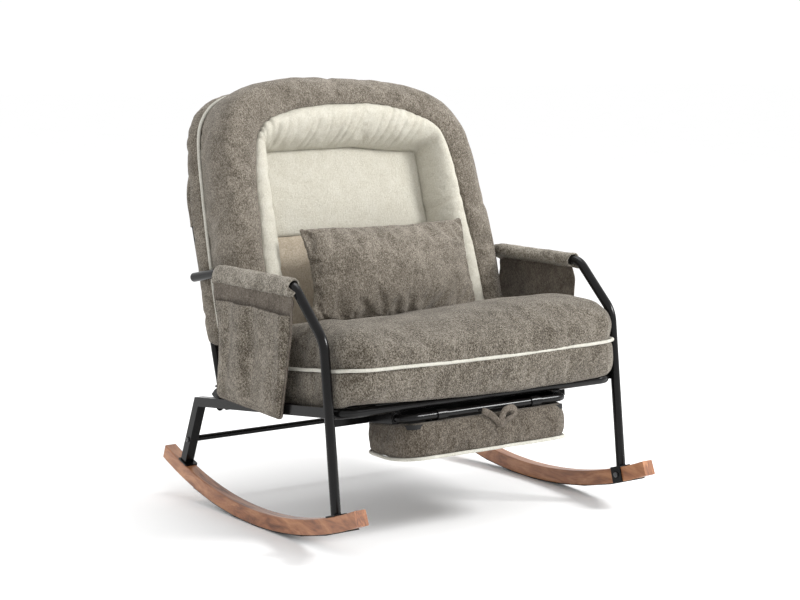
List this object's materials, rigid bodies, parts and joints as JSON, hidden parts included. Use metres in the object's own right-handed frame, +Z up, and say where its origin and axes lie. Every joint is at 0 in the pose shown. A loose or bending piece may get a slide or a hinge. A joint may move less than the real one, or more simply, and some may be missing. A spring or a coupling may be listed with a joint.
{
  "type": "rocker recliner",
  "caption": "Upholstered rocking armchair on wooden runners with a reclining cushioned back, loose lumbar pillow, side pockets and a pull-out flip footrest.",
  "frame": {"origin": "on the floor under the runners, at the middle of the chair's overall width and depth", "axes": "+Z up, +X to the viewer's right when facing the seat, -Y the front of the chair"},
  "size_m": [0.802, 0.7716, 0.9156],
  "materials": {
    "runner_wood": "oiled, open grain",
    "runner_rubber": "matte",
    "frame_black": "satin black powder coat",
    "bolt_steel": "dark zinc",
    "plastic_black": "matte",
    "strap_webbing": "woven elastic webbing",
    "board_wood": "plywood under a black lining cloth",
    "fabric_taupe": "short-pile plush, mottled taupe",
    "fabric_cream": "short-pile fleece, cream"
  },
  "bodies": {
    "base": {"arm_leg_tube_left": "frame_black", "arm_leg_tube_right": "frame_black", "arm_panel_left": "fabric_taupe", "arm_panel_right": "fabric_taupe", "arm_pocket_left": "fabric_taupe", "arm_pocket_right": "fabric_taupe", "arm_sleeve_left": "fabric_taupe", "arm_sleeve_right": "fabric_taupe", "arm_tube_plugs": "plastic_black", "bracket_bolts": "bolt_steel", "footrest_guides": "frame_black", "front_leg_brackets": "frame_black", "guide_bushes": "plastic_black", "guide_plate": "frame_black", "rear_leg_brackets": "frame_black", "rear_leg_left": "frame_black", "rear_leg_right": "frame_black", "rear_stretcher": "frame_black", "recline_pivot_pins": "bolt_steel", "recline_plates_left": "frame_black", "recline_plates_right": "frame_black", "rocker_grip_left": "runner_rubber", "rocker_grip_right": "runner_rubber", "rocker_left": "runner_wood", "rocker_right": "runner_wood", "seat_cross_tube": "frame_black", "seat_cushion": "fabric_taupe", "seat_frame_tube": "frame_black", "seat_rear_tube": "frame_black", "seat_spacers": "frame_black", "seat_straps": "strap_webbing", "side_rail_left": "frame_black", "side_rail_right": "frame_black", "stretcher_bolts": "bolt_steel"},
    "backrest": {"back_upright_left": "frame_black", "back_upright_right": "frame_black", "back_top_arch": "frame_black", "back_cross_tubes": "frame_black", "back_straps": "strap_webbing", "recline_latch_pins": "bolt_steel", "back_cushion_rear": "fabric_taupe", "back_cushion_front": "fabric_taupe", "back_bolster": "fabric_cream", "back_panel_upper": "fabric_cream", "back_panel_lower": "fabric_cream", "back_hood": "fabric_taupe"},
    "pillow": {"lumbar_pillow": "fabric_taupe"},
    "footrest_frame": {"footrest_tube": "frame_black", "footrest_stops": "plastic_black"},
    "footrest_cushion": {"footrest_board": "board_wood", "footrest_pad": "fabric_taupe", "footrest_clips": "frame_black", "clip_screws": "bolt_steel", "pull_loop": "fabric_taupe"}
  },
  "joints": [
    {"name": "recline", "type": "hinge", "parent": "base", "child": "backrest", "pos_m": [0, 0.2035, 0.21827], "axis": [-1, 0, 0], "range_deg": [0, 35]},
    {"name": "pillow_slide", "type": "slide", "parent": "backrest", "child": "pillow", "axis": [0, 0.2857, 0.9583], "range_m": [0, 0.15]},
    {"name": "footrest_slide", "type": "slide", "parent": "base", "child": "footrest_frame", "axis": [0, -0.9938, 0.1115], "range_m": [0, 0.3]},
    {"name": "footrest_flip", "type": "hinge", "parent": "footrest_frame", "child": "footrest_cushion", "pos_m": [0, -0.29347, 0.24997], "axis": [-1, 0, 0], "range_deg": [0, 180]}
  ],
  "couplings": [
    {"joint": "footrest_flip", "follows": "footrest_slide", "rad_per_m": 10.472}
  ]
}
